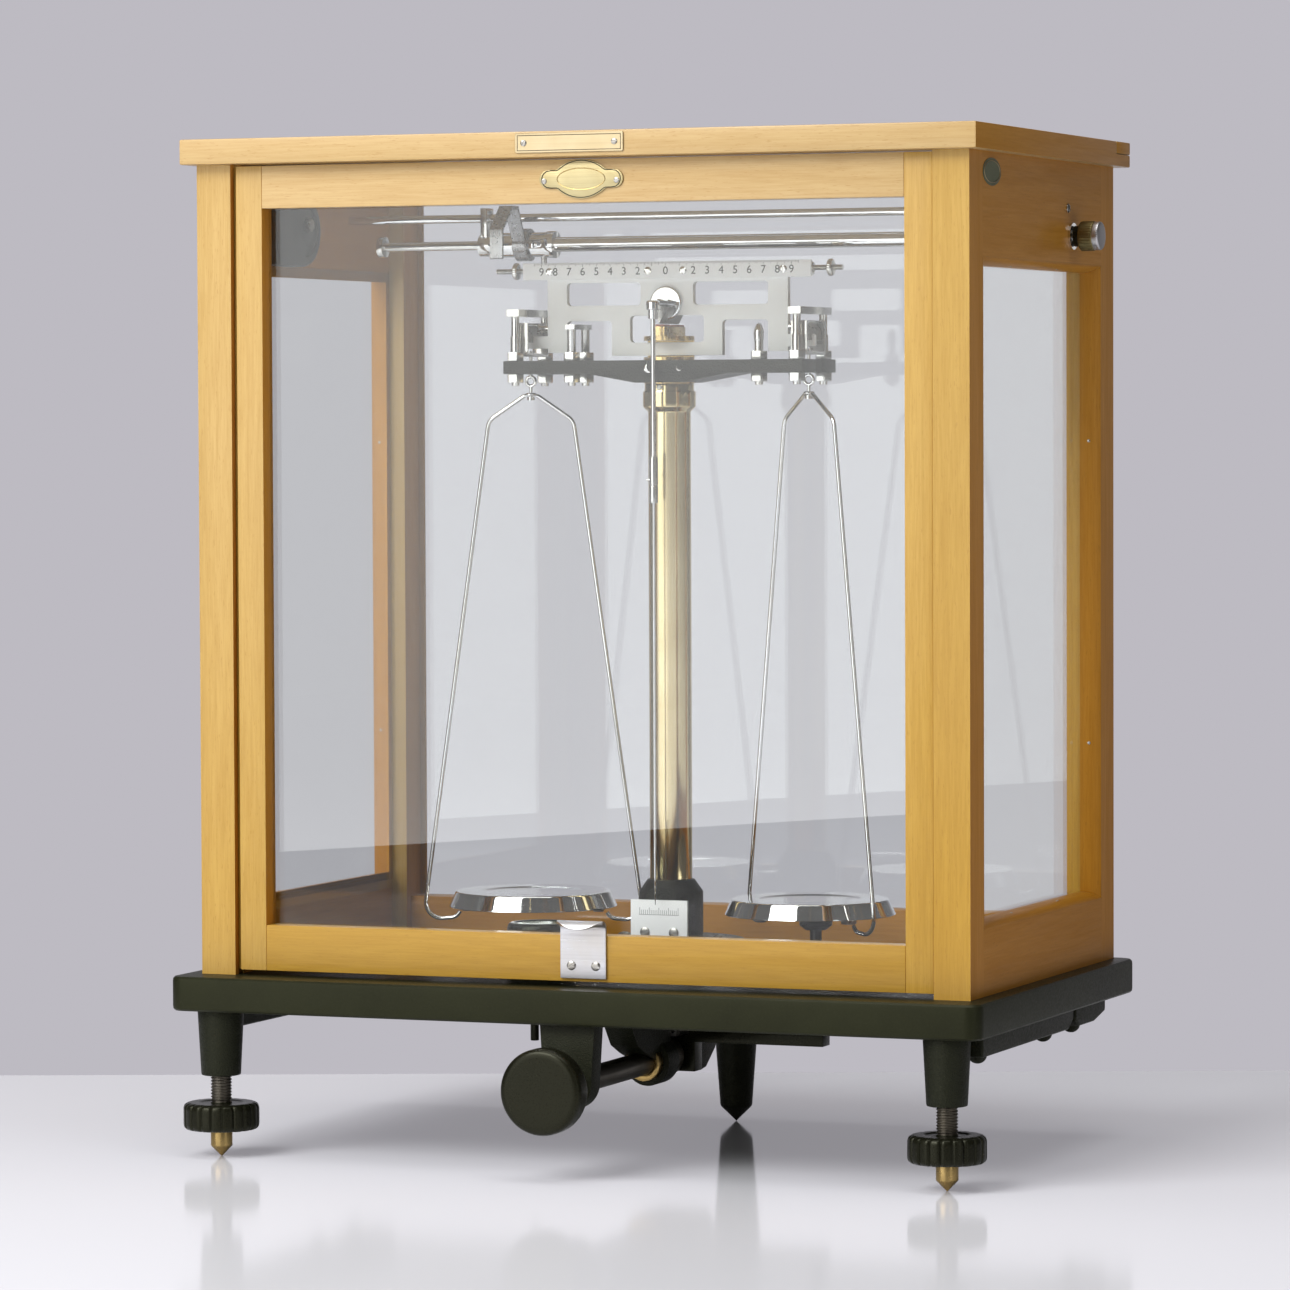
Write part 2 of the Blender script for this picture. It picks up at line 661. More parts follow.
top = cut_bm(
    box_bm((-200, -118.9, 470.3), (200, 118.9, 482.4)),
    box_bm((-181, -112.6, 460), (181, -98.8, 490)),
    box_bm((-210, 96.9, 476.35), (210, 130, 490)),
)
bevel_sharp(top, 0.9, 2)
top = add("top_board_main", top, "case", wood("x", 1.0, 31, 0.8), ("top_board",))
side_face(top, wood("y", SIDE, 31, 0.1, 0.9))
strip = block("top_board_strip", (-200, 97.0, 476.45), (200, 118.9, 482.4), "case",
              wood("x", 0.97, 33, 0.6), 0.7, ("top_board",))
side_face(strip, wood("y", SIDE, 33, 0.1, 0.9))

SASH_BACK = -99.8
sash = [
    ("sash_rail_low", (-160.5, SASH_FACE, 85.6), (162.7, SASH_BACK, 107.4), "x", 0.94),
    ("sash_rail_high", (-160.5, SASH_FACE, 449.2), (162.7, SASH_BACK, 469.4), "x", 1.04),
    ("sash_stile_left", (-174.1, SASH_FACE, 85.6), (-160.5, SASH_BACK, 469.4), "z", 1.02),
    ("sash_stile_right", (162.7, SASH_FACE, 85.6), (176.3, SASH_BACK, 469.4), "z", 1.0),
    ("sash_tongue_left", (-177.5, -107.2, 85.6), (-174.1, -103.2, 469.4), "z", 0.7),
    ("sash_tongue_right", (176.3, -107.2, 85.6), (179.7, -103.2, 469.4), "z", 0.7),
]
for i, (n, lo, hi, axis, shade) in enumerate(sash):
    pale = {"sash_rail_high": 0.75, "sash_stile_left": 0.35}.get(n, 0.0)
    o = block(n, lo, hi, "sash", wood(axis, shade, 40 + i, pale), 0.45, ("sash_frame",))
    side_face(o, wood(axis, SIDE, 40 + i, 0.0, 1.0))

for name in ("case_glass", "sash_glass"):
    dress(name, PANE)

# nail heads along the beads of the side windows
nails = []
for s in (-1, 1):
    for y in (-36, 34.5):
        nails += [((s * 189, y, 117.0), (0, 0, 1)), ((s * 189, y, 418.8), (0, 0, -1))]
    for z in (190, 337):
        nails += [((s * 189, -89.0, z), (0, 1, 0)), ((s * 189, 85.7, z), (0, -1, 0))]
nail = rounded_profile([(0.8, -0.5), (0.8, 0.25), (0, 0.3)], 0.2)
add("bead_nails", merge(*[lathe_bm(nail, o, a, 12) for o, a in nails]), "case", STEEL)

# small sticker, left blank
sticker = prism_bm(ellipse(-79.5, 461, 13, 6.4, 40), "x", SIDE_FACE, SIDE_FACE + 0.25)
add("side_sticker", sticker, "case",
    painted("sticker_faded_green", (0.115, 0.125, 0.075), 0.45, 1500, 0.08, 0.00004, 0.3), (), 30)
ring = [at(SIDE_FACE + 0.3, y, z) for y, z in ellipse(-79.5, 461, 11.4, 5.0, 48)]
add("side_sticker_border", tube_bm(ring, 0.22, 8, True), "case", BRASS_PLATE)

# plate on the top board, with a line round its edge
plate = prism_bm(rounded_rect(-25.7, 472.3, 28.6, 481.4, 0.8, 3), "y", TOP_PLATE_FACE, -118.9)
bevel_sharp(plate, 0.18, 1, 60)
add("top_plate_face", plate, "case", BRASS_PLATE, ("top_plate",))
lines = [box_bm((x1, TOP_PLATE_FACE - 0.05, z1), (x2, TOP_PLATE_FACE + 0.02, z2))
         for x1, z1, x2, z2 in ((-24.6, 473.2, 27.5, 473.5), (-24.6, 480.2, 27.5, 480.5),
                                (-24.6, 473.2, -24.3, 480.5), (27.2, 473.2, 27.5, 480.5))]
add("top_plate_border", merge(*lines), "case", INK)

# ------------------------------------------------------------------ sash fittings


def tab():
    """The lift tab: flat, then curled over to the front, with an arched free edge."""
    thick, bend, x1, x2, low, high = 1.4, 4.8, -7.7, 15.3, 87.2, 109.8
    cols, rows = 20, 16
    bm = bmesh.new()
    outer, inner = [], []
    across_x = [x1 + (x2 - x1) * k / cols for k in range(cols + 1)]
    for z in (low, low + 6, low + 12, low + 18, high):
        outer.append([bm.verts.new(at(x, SASH_FACE, z)) for x in across_x])
        inner.append([bm.verts.new(at(x, SASH_FACE - thick, z)) for x in across_x])
    for i in range(1, rows + 1):
        for grid, r in ((outer, bend), (inner, bend - thick)):
            line = []
            for k, x in enumerate(across_x):
                u = 2 * k / cols - 1
                a = math.radians((104 + 66 * (1 - abs(u) ** 2.2)) * i / rows)
                line.append(bm.verts.new(at(x, SASH_FACE - bend + r * math.cos(a), high + r * math.sin(a))))
            grid.append(line)
    for grid in (outer, inner):
        for p, q in zip(grid, grid[1:]):
            for k in range(cols):
                bm.faces.new((p[k], p[k + 1], q[k + 1], q[k]))
    for i in range(len(outer) - 1):
        for k in (0, cols):
            bm.faces.new((outer[i][k], inner[i][k], inner[i + 1][k], outer[i + 1][k]))
    for i in (0, -1):
        for k in range(cols):
            bm.faces.new((outer[i][k], outer[i][k + 1], inner[i][k + 1], inner[i][k]))
    bmesh.ops.recalc_face_normals(bm, faces=bm.faces)
    bevel_sharp(bm, 0.18, 2, 50)
    return bm


add("lift_tab", tab(), "sash", ALUMINIUM, ("sash_handle",))


def badge(grow):
    """The outline of the sash's badge: a pointed lens with a rounded ear at each end."""
    half, tall = 16.0, 9.15
    bow = (half ** 2 + tall ** 2) / (2 * tall)
    pts = []
    for i in range(120):
        a = 2 * math.pi * i / 120
        c, s = math.cos(a), math.sin(a)
        r = 0.0
        for k in range(1, 430):
            x, z = k * 0.05 * c, k * 0.05 * s
            lens = abs(x) < half and abs(z) <= math.sqrt(bow ** 2 - x * x) - (bow - tall)
            ear = abs(z) <= 4.3 and abs(x) <= 17.0 or math.hypot(abs(x) - 16.75, z) <= 4.3
            if lens or ear:
                r = k * 0.05
        pts.append((BADGE_X + r * c * grow, BADGE_Z + r * s * grow))
    return pts


# a blank badge with a dark rim and an oval line
BADGE_FACE = -111.7
plate = prism_bm(badge(1.0), "y", BADGE_FACE, SASH_FACE)
bevel_sharp(plate, 0.2, 2, 50)
add("sash_badge", plate, "sash", BADGE, ("sash_plate",))
rim = [at(x, BADGE_FACE - 0.02, z) for x, z in badge(0.94)]
add("sash_badge_rim", tube_bm(rim, 0.22, 8, True), "sash", INK)
oval = [at(x, BADGE_FACE - 0.02, z) for x, z in ellipse(BADGE_X, BADGE_Z, 12.0, 5.0, 64)]
add("sash_badge_oval", tube_bm(oval, 0.2, 8, True), "sash", BRASS_DARK)

screws("sash_screw_heads", [
    ((-2.1, -112.2, 93.2), (0, -1, 0), 2.2, 0.9, 35),
    ((10.2, -112.2, 93.2), (0, -1, 0), 2.2, 0.9, -20),
    ((-14.4, BADGE_FACE, 459.3), (0, -1, 0), 1.35, 0.45, 60),
    ((22.0, BADGE_FACE, 459.3), (0, -1, 0), 1.35, 0.45, 10),
], "sash", STEEL, ("sash_screws",))

# ------------------------------------------------------------------ case hardware

screws("case_screw_heads", [
    ((-21.3, TOP_PLATE_FACE, 476.9), (0, -1, 0), 1.5, 0.6, 70),
    ((24.2, TOP_PLATE_FACE, 476.9), (0, -1, 0), 1.5, 0.6, 15),
    ((SIDE_FACE, 36, 448), (1, 0, 0), 2.2, 1.0, 40),
    ((-7.8, INDEX_FACE, 99.6), (0, -1, 0), 2.5, 0.9, 20),
    ((7.2, INDEX_FACE, 99.6), (0, -1, 0), 2.5, 0.9, -30),
] + [((x, COLUMN_Y + y, 95.5), (0, 0, 1), 3.5, 2.6, 25 + x + y)
     for x, y in ((-24.5, 0), (25, 0), (0, -26), (0, 26))],
    "case", STEEL, ("case_screws",))


def bolt_bm(origin, axis, flat, h):
    """A hexagon head, flat across its flats."""
    r = flat / math.sqrt(3)
    return lathe_bm([(r, 0), (r, h * 0.8), (r * 0.86, h), (0, h)], origin, axis, 6)


def dome_bm(origin, axis, r, h):
    arc = [math.pi / 2 * i / 6 for i in range(1, 6)]
    pts = [(r, 0)] + [(r * math.cos(a), h * math.sin(a)) for a in arc] + [(0, h)]
    return lathe_bm(pts, origin, axis, 28)


domes = [dome_bm((s * 190, y, 56), (0, 0, -1), 4.4, 4) for s in (-1, 1) for y in (-89, 9, 53)]
add("bracket_bolts", merge(*domes), "case", CAST_BLACK, ("case_screws",))

for side, name in ((-1, "left"), (1, "right")):
    wall = side * 184.8
    inward = (-side, 0, 0)
    turned(f"spring_drum_{name}",
           [(0, 0), (17.5, 0), (17.5, 8.2), (16.2, 10), (12.5, 10), (12.2, 9.2), (7.2, 9.2), (6.8, 10),
            (0, 10)],
           (wall, -30, 441), inward, "case", GREY_CASE, ("sash_spring_drums",), 0.5)
    lo = (min(wall, wall - side * 10), -62, 423.5)
    hi = (max(wall, wall - side * 10), -30, 458.5)
    block(f"spring_box_{name}", lo, hi, "case", GREY_CASE, 1.2, ("sash_spring_drums",), 3)
    add(f"spring_bolt_{name}",
        bolt_bm((wall - side * 10, -30, 444), inward, 5.9, 3), "case", STEEL, ("case_screws",), 25)

# ------------------------------------------------------------------ legs and feet

eased("legs", "case", CAST_BLACK, 0.9, 40, 2)
eased("leg_brackets", "case", CAST_BLACK, 1.6, 40, 3)
eased("shaft_hangers", "case", CAST_BLACK, 1.0, 45, 2)


def flute(a, r, h, flutes=20):
    """Rounded grooves round the rim of a levelling nut."""
    if r < 15:
        return r
    wave = abs(math.cos(a * flutes / 2))
    return r - 0.95 * (1 - min(1, wave * 1.7)) ** 1.4


def thread_bm(base, pitch=1.5, turns=22, seg=24):
    """A helical thread as a closed strip, from base (in metres) upwards."""
    bm = bmesh.new()
    rows = []
    for i in range(turns * seg + 1):
        a = 2 * math.pi * i / seg
        z = pitch * i / seg
        rows.append([bm.verts.new(base + Vector((r * math.cos(a), r * math.sin(a), z + dz)) * MM)
                     for r, dz in ((4.45, 0), (5.05, 0.45), (5.05, 0.75), (4.45, 1.2))])
    for p, q in zip(rows, rows[1:]):
        for k in range(3):
            bm.faces.new((p[k], q[k], q[k + 1], p[k + 1]))
        bm.faces.new((p[3], q[3], q[0], p[0]))
    bm.faces.new(rows[0][::-1])
    bm.faces.new(rows[-1])
    return bm


LEVEL_NUT = [(0, 0), (16.6, 0), (17.9, 1.1), (18.2, 2.4), (18.2, 10.4), (17.6, 12.0), (15.9, 12.9),
             (11.0, 12.9), (9.8, 12.4), (5.1, 12.4), (5.1, 13.0), (0, 13.0)]
for side, name in ((-1, "left"), (1, "right")):
    x = side * FOOT_X
    turned(f"foot_knob_{name}", LEVEL_NUT, (x, FOOT_Y, KNOB_LOW), (0, 0, 1), f"{name}_foot_screw", BAKELITE,
           (f"foot_screw_{name}",), 0.6, 168, flute)
    core = [(0, 0), (4.5, 0), (4.5, 35.0), (0, 35.0)]
    stem = merge(thread_bm(at(x, FOOT_Y, KNOB_LOW + 12.6)),
                 lathe_bm(core, (x, FOOT_Y, KNOB_LOW + 12.2), (0, 0, 1), 24))
    add(f"foot_stem_{name}", stem, f"{name}_foot_screw", DARK_STEEL, (f"foot_screw_{name}",), 30)
    turned(f"foot_point_{name}", [(0.25, 0), (5.2, 5.0), (5.2, 12.7), (0, 12.7)], (x, FOOT_Y, -LIFT),
           (0, 0, 1), f"{name}_foot", BRASS_DARK, (f"foot_tip_{name}",), 0.35, 48)

turned("arrest_knob_head",
       [(0, 0), (17.0, 0), (19.2, 0.7), (20.2, 2.4), (20.2, 9.8), (19.6, 11.2), (17.4, 12.5), (0, 12.5)],
       (0, -157.2, 38.3), (0, 1, 0), "arrest_shaft", BAKELITE, ("arrest_knob",), 0.9, 96)
dress("arrest_shaft", DARK_STEEL)
eased("shaft_bush", "case", BRASS_DARK, 0.6, 45, 2)
eased("pan_arresters", "pan_arresters", BAKELITE, 0.35, 40, 2)

# ------------------------------------------------------------------ column

eased("column_plinth", "case", CRACKLE, 0.9, 40, 2)
eased("column_foot", "case", CRACKLE, 0.9, 30, 2)
eased("column_tube", "case", BRASS_TUBE, 0.5, 40, 2)
eased("bearing_post", "case", BRASS, 0.3, 40, 2)
eased("bearing_agates", "case", AGATE, 0.15, 40, 1)
dress("lift_rod", STEEL)
screws("collar_screws", [((COLUMN_X, COLUMN_Y - 11.9, 363.7), (0, -1, 0), 1.4, 0.5, 30)], "case", STEEL)

eased("index_plate", "case", WHITE, 0.25, 40, 2)
marks = []
INK_FRONT, INK_BACK, MARK_Z = INDEX_FACE - 0.06, INDEX_FACE + 0.01, 108.2
for i in range(-10, 11):
    tall = 3.4 if i % 5 == 0 else 2.2
    x = COLUMN_X + i
    marks.append(box_bm((x - 0.1, INK_FRONT, MARK_Z), (x + 0.1, INK_BACK, MARK_Z + tall)))
marks.append(box_bm((COLUMN_X - 10.4, INK_FRONT, MARK_Z - 0.2), (COLUMN_X + 10.4, INK_BACK, MARK_Z)))
add("index_marks", merge(*marks), "case", GREY_INK)
turned("level_body",
       [(0, 0), (16.5, 0), (16.5, 22.2), (15.9, 24.0), (14.6, 24.9), (12.9, 24.9), (12.4, 24.2), (0, 24.2)],
       (-40, -58, BASE_TOP), (0, 0, 1), "case", BAKELITE, ("spirit_level",), 0.5, 72)
add("level_window", dome_bm((-40, -58, 107.2), (0, 0, 1), 12.2, 0.75), "case",
    painted("level_window_green", (0.16, 0.22, 0.08), 0.08, 300, 0.02, 0.00003, 0.2, 0.8))

# ------------------------------------------------------------------ carrier

eased("carrier_arm", "carrier", CRACKLE, 0.7, 35, 2)
eased("end_frames", "carrier", NICKEL, 0.35, 40, 2)
screws("carrier_screws", [((-3.5, -8.6, 372.9), (0, -1, 0), 2.3, 0.8, 25),
                          ((12.4, -8.6, 373.0), (0, -1, 0), 1.6, 0.8, -40)], "carrier", NICKEL)
eased("arrest_posts", "carrier", NICKEL, 0.3, 40, 2)
eased("carrier_nuts", "carrier", NICKEL, 0.45, 40, 2)

# ------------------------------------------------------------------ beam

eased("beam_plate", "beam", BEAM, 0.3, 35, 2)
eased("beam_scale", "beam", WHITE, 0.25, 40, 2)
screws("beam_screw_heads", [((s * x, BEAM_FACE, 420.3), (0, -1, 0), 1.9, 0.8, 30 * s + x)
                            for s in (-1, 1) for x in (9.2, 60.9)],
       "beam", NICKEL, ("beam_screws",))
stud = [(0, 0), (1.28, 0)]
for i in range(62):
    z = 0.3 + i * 0.235
    stud += [(1.28, z), (1.05, z + 0.118)]
stud += [(1.28, 15.0), (0, 15.0)]
collar = rounded_profile([(0, -0.4), (2.6, -0.4), (2.6, 0.25), (0, 0.25)], 0.1)
stop = [(0, 0), (1.7, 0), (1.7, 4.6), (2.4, 4.6), (2.4, 5.6), (0, 5.6)]
studs = []
for s in (-1, 1):
    root, along = (s * 75, BEAM_Y, STUD_Z), (s, 0, 0)
    studs += [lathe_bm(stud, root, along, 20), lathe_bm(collar, root, along, 28),
              lathe_bm(stop, (s * 62.6, BEAM_Y, 392.8), along, 28)]
add("beam_studs", merge(*studs), "beam", NICKEL, ("beam_screws",))
eased("beam_knives", "beam", STEEL, 0.06, 40, 1)
turned("beam_disc", [(0, 0), (7.6, 0), (8.2, 0.5), (8.2, 2.0), (0, 2.0)], (0, 5.0, PIVOT_Z), (0, 1, 0), "beam",
       CHROME, ("pointer_hub",), 0.3, 72)
turned("pointer_stub", [(1.9, 0), (1.9, 14), (0, 14)], (0, -9.0, PIVOT_Z), (0, 1, 0), "beam", CHROME,
       ("pointer_hub",), 0.2, 32)
turned("pointer_cap", [(0, 0), (2.5, 0), (2.5, 4.4), (3.4, 4.4), (3.4, 8.2), (2.8, 8.9), (0, 8.9)],
       (0, POINTER_Y, 396.6), (0, 0, 1), "beam", CHROME, ("pointer",), 0.3, 40)
turned("pointer_rod", [(0, 0), (0.15, 0), (0.75, 14.5), (0.75, 204.7), (1.2, 204.7), (1.2, 283.2), (0, 283.2)],
       (0, POINTER_Y, 113.5), (0, 0, 1), "beam", CHROME, ("pointer",), 0.05, 24)
turned("bob_sleeve",
       [(0.82, 0), (2.1, 0), (2.1, 8.0), (1.9, 8.2), (1.9, 8.8), (2.1, 9.0), (2.1, 22.4), (1.27, 22.4)],
       (0, POINTER_Y, 307.8), (0, 0, 1), "bob", NICKEL, ("pointer_bob",), 0.2, 32)
turned("bob_pin", [(0, 0), (0.6, 0), (0.6, 1.6), (0, 1.6)], (-1.9, POINTER_Y, 319), (-1, 0, 0), "bob", NICKEL,
       ("pointer_bob",), 0.15, 16)


def knurl(depth, half_teeth, from_radius):
    """A ripple that cuts rounded teeth into whatever is wider than from_radius."""
    def ripple(a, r, h):
        return r - (depth * (1 - abs(math.cos(a * half_teeth))) if r > from_radius else 0)
    return ripple


NUT = [(1.33, -1.25), (3.5, -1.25), (4.15, -0.7), (4.15, 0.7), (3.5, 1.25), (1.33, 1.25)]
for name, x in (("left", -79.6), ("right", 84.0)):
    turned(f"adjusting_nut_body_{name}", NUT, (x, BEAM_Y, STUD_Z), (1, 0, 0), f"{name}_nut", NICKEL,
           (f"adjusting_nut_{name}",), 0.1, 90, knurl(0.22, 15, 3.6))

# figures and lines of the beam's scale, without the ones, where its screws are
figures = []
STEP = 7.23
LINE_TOP = 424.5
for n in range(-9, 10):
    if abs(n) == 1:
        continue
    curve = bpy.data.curves.new("figure", "FONT")
    curve.body = str(abs(n))
    curve.size = 5.4 * MM
    curve.align_x = "CENTER"
    curve.align_y = "CENTER"
    curve.extrude = 0.03 * MM
    o = bpy.data.objects.new("figure", curve)
    bpy.context.scene.collection.objects.link(o)
    mesh = bpy.data.meshes.new_from_object(o.evaluated_get(bpy.context.evaluated_depsgraph_get()))
    bm = bmesh.new()
    bm.from_mesh(mesh)
    upright = Matrix.Translation(at(n * STEP, BEAM_FACE - 0.02, 420.1)) @ Matrix.Rotation(math.pi / 2, 4, "X")
    bmesh.ops.transform(bm, matrix=upright, verts=bm.verts)
    figures.append(bm)
    bpy.data.objects.remove(o)
    bpy.data.meshes.remove(mesh)
    bpy.data.curves.remove(curve)
for i in range(-95, 96):
    x = i * STEP / 10
    tall = 1.9 if i % 10 == 0 else (1.4 if i % 5 == 0 else 0.9)
    figures.append(box_bm((x - 0.09, BEAM_FACE - 0.05, LINE_TOP - tall),
                          (x + 0.09, BEAM_FACE + 0.01, LINE_TOP)))
add("scale_figures", merge(*figures), "beam", INK, (), 30)

# ------------------------------------------------------------------ stirrups, bails and pans

for name in ("left", "right"):
    eased(f"stirrup_{name}", f"{name}_stirrup", NICKEL, 0.25, 40, 2)
    dress(f"hook_{name}", CHROME)

PAN = [(0, 116.2), (22.0, 116.2), (23.6, 116.35), (25.6, 116.95), (27.0, 117.1), (37.5, 117.1),
       (38.0, 116.95), (38.35, 116.4), (41.0, 110.2), (41.3, 109.6), (41.15, 109.4), (40.6, 109.4),
       (40.2, 110.0), (37.5, 115.8), (36.9, 116.1), (27.0, 116.1), (22.0, 115.2), (0, 115.2)]
TURN = {"left": 15.0, "right": -35.5}  # each bail's own turn about its hook, in degrees
HALF, BEND_R, BEND_Z = 53.5, 8.0, 111.0


def bail_path(turn, cx, sign):
    """One leg of a bail: out from the eye, round the knee, down, and hooked back under the pan."""
    shoulder = (3.4, 359.9)
    pts = [(2.6, 359.9), shoulder]
    knee = Vector((21.0, 347.8))
    a = (Vector(shoulder) - knee).normalized()
    b = (Vector((HALF, BEND_Z)) - knee).normalized()
    cut = 3.4
    for i in range(7):
        t = i / 6
        pts.append(tuple((1 - t) ** 2 * (knee + a * cut) + 2 * t * (1 - t) * knee + t * t * (knee + b * cut)))
    for i in range(1, 6):
        t = i / 6
        pts.append((knee.x + (HALF - knee.x) * t, knee.y + (BEND_Z - knee.y) * t))
    for i in range(0, 15):
        t = math.radians(95 * i / 14)
        pts.append((HALF - BEND_R + BEND_R * math.cos(t), BEND_Z - BEND_R * math.sin(t)))
    head = math.radians(175)
    x, z = pts[-1][0] + 4 * math.cos(head), pts[-1][1] + 4 * math.sin(head)
    cx2, cz2 = x + 5 * math.sin(head), z - 5 * math.cos(head)
    for i in range(0, 9):
        t = head - math.radians(50 * i / 8)
        pts.append((cx2 - 5 * math.sin(t), cz2 + 5 * math.cos(t)))
    pts.append((pts[-1][0] + 1.2 * math.cos(t), pts[-1][1] + 1.2 * math.sin(t)))
    c, sn = math.cos(math.radians(turn)), math.sin(math.radians(turn))
    return [at(cx + sign * p[0] * c, PAN_Y + sign * p[0] * sn, p[1]) for p in pts]


for name, s in (("left", -1), ("right", 1)):
    cx = s * PAN_X
    turn = TURN[name]
    eye = [at(x, y, 360.6) for x, y in ellipse(cx, PAN_Y, 2.0, 2.0, 24)]
    add(f"bail_wire_{name}", merge(tube_bm(eye, 0.8, 12, True), tube_bm(bail_path(turn, cx, 1), 1.0, 16),
                                   tube_bm(bail_path(turn, cx, -1), 1.0, 16)),
        f"{name}_pan", CHROME, (f"bail_{name}",), 40)
    turned(f"pan_dish_{name}", PAN, (cx, PAN_Y, 0), (0, 0, 1), f"{name}_pan", CHROME, (f"pan_{name}",),
           0.3, 144)
    clips = []
    for half_turn in (0, 180):
        bm = box_bm((30, -3, 106.8), (35, 3, 116.3))
        bmesh.ops.translate(bm, verts=bm.verts, vec=-at(0, 0, 0))
        bevel_sharp(bm, 0.7, 2)
        place = Matrix.Translation(at(cx, PAN_Y, 0)) @ Matrix.Rotation(math.radians(turn + half_turn), 4, "Z")
        bmesh.ops.transform(bm, matrix=place, verts=bm.verts)
        clips.append(bm)
    add(f"pan_lugs_{name}", merge(*clips), f"{name}_pan", STEEL, (f"pan_{name}",))

# ------------------------------------------------------------------ rider gear

dress("rider_guides", CHROME)
eased("rider_carriage", "rider_carriage", NICKEL, 0.3, 40, 2)
eased("rider_tube", "rider_shaft", CHROME, 0.35, 40, 2)
eased("rider_arm", "rider_shaft", DULL_NICKEL, 0.2, 40, 1)

turned("rider_knob_neck", [(0, 0), (5.0, 0), (5.0, 3.2), (0, 3.2)], (196, RIDER_Y, RIDER_Z), (1, 0, 0),
       "rider_shaft", BAKELITE, ("rider_knob",), 0.2, 40)
turned("rider_knob_body", [(0, 0), (6.6, 0), (7.1, 0.5), (7.1, 6.6), (6.7, 7.1), (0, 7.1)],
       (199, RIDER_Y, RIDER_Z), (1, 0, 0), "rider_shaft", KNOB_OLIVE, ("rider_knob",), 0.15, 108,
       knurl(0.25, 18, 6.9))
turned("rider_knob_cap", [(0, 0), (6.8, 0), (6.8, 2.6), (6.2, 3.3), (0, 3.3)], (206, RIDER_Y, RIDER_Z),
       (1, 0, 0), "rider_shaft", ALUMINIUM, ("rider_knob",), 0.3, 72)

# ------------------------------------------------------------------ floor, light and camera

VIEW_AZ, VIEW_EL, VIEW_ROLL = 21.790, 2.287, -0.225
EYE = at(1023.4, -2583.1, 349.9)
LENS = 160.08

az = math.radians(VIEW_AZ)
ahead = Vector((-math.sin(az), math.cos(az), 0))
across = Vector((math.cos(az), math.sin(az), 0))
near, far, wide = -3.2, 0.32, 3.5  # the table's reach before, behind and beside the balance, in metres
TABLE_THICK = 0.02
corners = [ahead * near - across * wide, ahead * near + across * wide, ahead * far + across * wide,
           ahead * far - across * wide]
bm = bmesh.new()
top_v = [bm.verts.new(c) for c in corners]
low_v = [bm.verts.new(c - Vector((0, 0, TABLE_THICK))) for c in corners]
bm.faces.new(top_v)
bm.faces.new(low_v[::-1])
for i in range(4):
    bm.faces.new((low_v[i], low_v[(i + 1) % 4], top_v[(i + 1) % 4], top_v[i]))
mesh = bpy.data.meshes.new("table_top")
bm.to_mesh(mesh)
bm.free()
floor = bpy.data.objects.new("table_top", mesh)
bpy.context.scene.collection.objects.link(floor)
m, b = new_mat("table_gloss", Roughness=0.1, Specular_IOR_Level=0.42)
b.inputs["Base Color"].default_value = (0.80, 0.80, 0.84, 1)
mesh.materials.append(m)

world = bpy.data.worlds.new("studio")
bpy.context.scene.world = world
world.use_nodes = True
# a pale backdrop straight behind the balance, a dim room everywhere else
look = node(world, "ShaderNodeTexCoord").outputs["Generated"]


def towards(direction):
    """How squarely a view ray looks in a direction."""
    return node(world, "ShaderNodeVectorMath", operation="DOT_PRODUCT", i0=look, i1=direction).outputs["Value"]


def eased_in(value, low, high):
    return node(world, "ShaderNodeMapRange", Value=value, From_Min=low, From_Max=high).outputs[0]


room = ramp(world, towards((-0.371, 0.928, 0.0)), [
    (0.0, (0.10, 0.095, 0.09)), (0.80, (0.11, 0.105, 0.11)), (0.95, (0.510, 0.495, 0.540))])
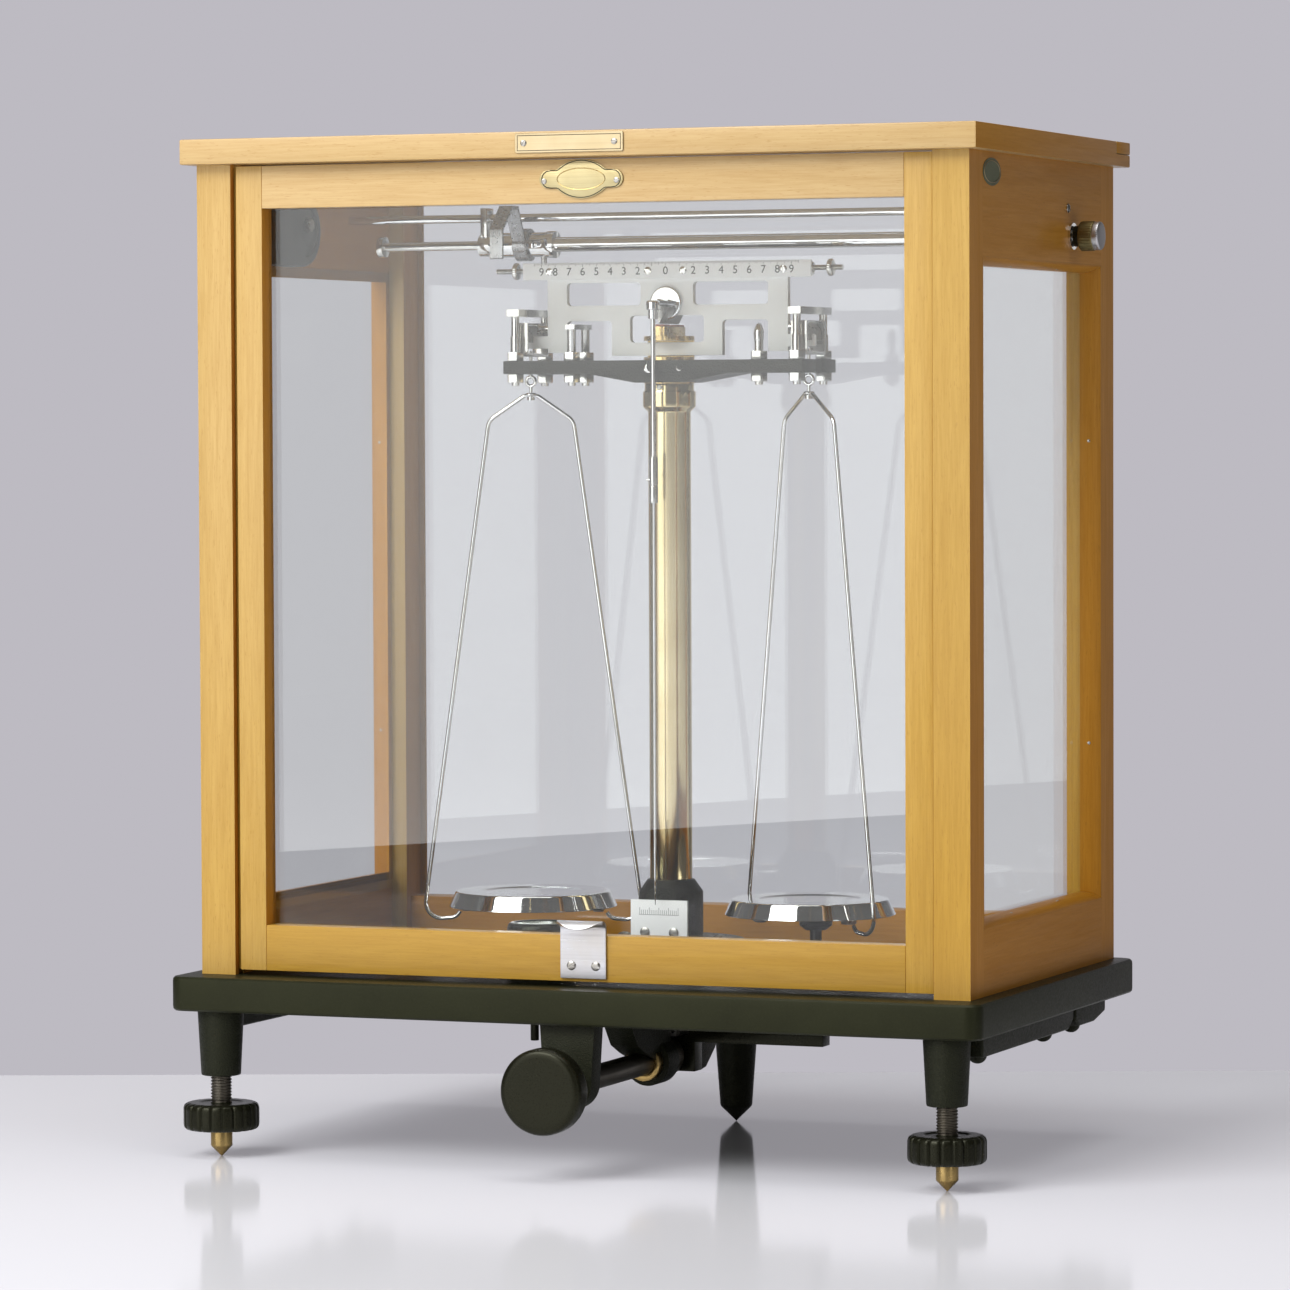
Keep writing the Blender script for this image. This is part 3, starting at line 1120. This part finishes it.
# a narrow bright strip off to the right, which only the side panes mirror
beside = node(world, "ShaderNodeMath", operation="ABSOLUTE", i0=towards((0.951, -0.309, 0.0))).outputs[0]
patch = node(world, "ShaderNodeMath", operation="MULTIPLY", i0=eased_in(beside, 0.055, 0.035),
             i1=eased_in(towards((0.309, 0.951, 0.0)), 0.980, 0.992))
glow = node(world, "ShaderNodeMath", operation="MULTIPLY", i0=patch.outputs[0], i1=0.55)
both = node(world, "ShaderNodeVectorMath", operation="ADD", i0=room, i1=glow.outputs[0])
world.node_tree.links.new(both.outputs[0], world.node_tree.nodes["Background"].inputs[0])


def area(name, place, target, size, power):
    """A rectangular light at place (metres) that shines at target and isn't seen itself."""
    light = bpy.data.lights.new(name, "AREA")
    light.shape = "RECTANGLE"
    light.size, light.size_y = size
    light.energy = power
    o = bpy.data.objects.new(name, light)
    bpy.context.scene.collection.objects.link(o)
    o.location = place
    o.rotation_euler = (Vector(target) - Vector(place)).to_track_quat("-Z", "Y").to_euler()
    o.visible_camera = False
    return o


area("key_left", (-0.75, -1.75, 1.75), (0.0, 0.0, 0.25), (1.5, 1.1), 50)
area("top_soft", (0.1, -0.3, 2.0), (0.0, 0.0, 0.2), (1.6, 1.6), 24)
area("strip_right", (0.82, -0.475, 0.43), (0.0, 0.0, 0.43), (0.20, 0.82), 0.65)
# the panes mirror this card, whose lower edge is the line seen in the front glass
card = area("reflection_card", (-0.72, -1.5, 0.744), (-0.72, 0.0, 0.744), (1.6, 1.412), 14.8)
card.rotation_euler = (math.radians(90), math.radians(-4.5), 0)

cam = bpy.data.cameras.new("camera")
cam.lens = LENS
cam.sensor_width = 36
cam.clip_start = 0.05
cam.clip_end = 60
eye = bpy.data.objects.new("camera", cam)
bpy.context.scene.collection.objects.link(eye)
el, roll = math.radians(VIEW_EL), math.radians(VIEW_ROLL)
back = Vector((math.sin(az) * math.cos(el), -math.cos(az) * math.cos(el), math.sin(el)))
right = (-back).cross(Vector((0, 0, 1))).normalized()
up = right.cross(-back)
rolled_right = right * math.cos(roll) + up * math.sin(roll)
rolled_up = -right * math.sin(roll) + up * math.cos(roll)
eye.matrix_world = Matrix.Translation(EYE) @ Matrix((rolled_right, rolled_up, back)).transposed().to_4x4()
bpy.context.scene.camera = eye
bpy.context.scene.view_settings.view_transform = "Standard"
